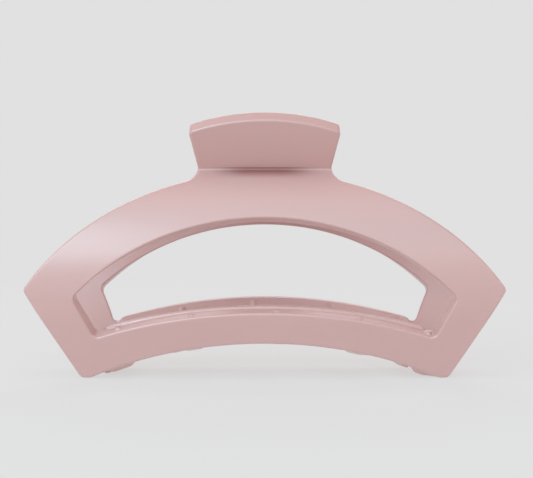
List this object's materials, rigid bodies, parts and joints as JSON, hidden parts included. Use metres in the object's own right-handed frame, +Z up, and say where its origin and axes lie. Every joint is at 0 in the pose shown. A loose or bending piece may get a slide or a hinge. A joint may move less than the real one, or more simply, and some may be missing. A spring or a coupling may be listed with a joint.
{
  "type": "claw clip",
  "caption": "Open-frame hair claw clip: arched curved jaws with interlocking teeth and thumb tabs, on a sprung hinge.",
  "frame": {"origin": "under the middle of the clip, on the surface that its four lower corners stand on", "axes": "+X along the clip's length, +Y towards the rear jaw, +Z up through the hinge to the thumb tabs"},
  "size_m": [0.12, 0.0502, 0.0672],
  "materials": {
    "jaw_plastic": "glossy rose pink, injection moulded",
    "pin_steel": "drawn steel wire",
    "spring_steel": "nickel plated spring wire"
  },
  "bodies": {
    "front": {"front_jaw": "jaw_plastic", "hinge_pin": "pin_steel", "torsion_spring": "spring_steel"},
    "rear": {"rear_jaw": "jaw_plastic"}
  },
  "joints": [
    {"name": "jaw_hinge", "type": "hinge", "parent": "front", "child": "rear", "pos_m": [0, 0, 0.05], "axis": [1, 0, 0], "range_deg": [0, 60], "stiffness_Nm_per_rad": 0.12, "springref_deg": -51.57, "deforming": ["torsion_spring"]}
  ]
}
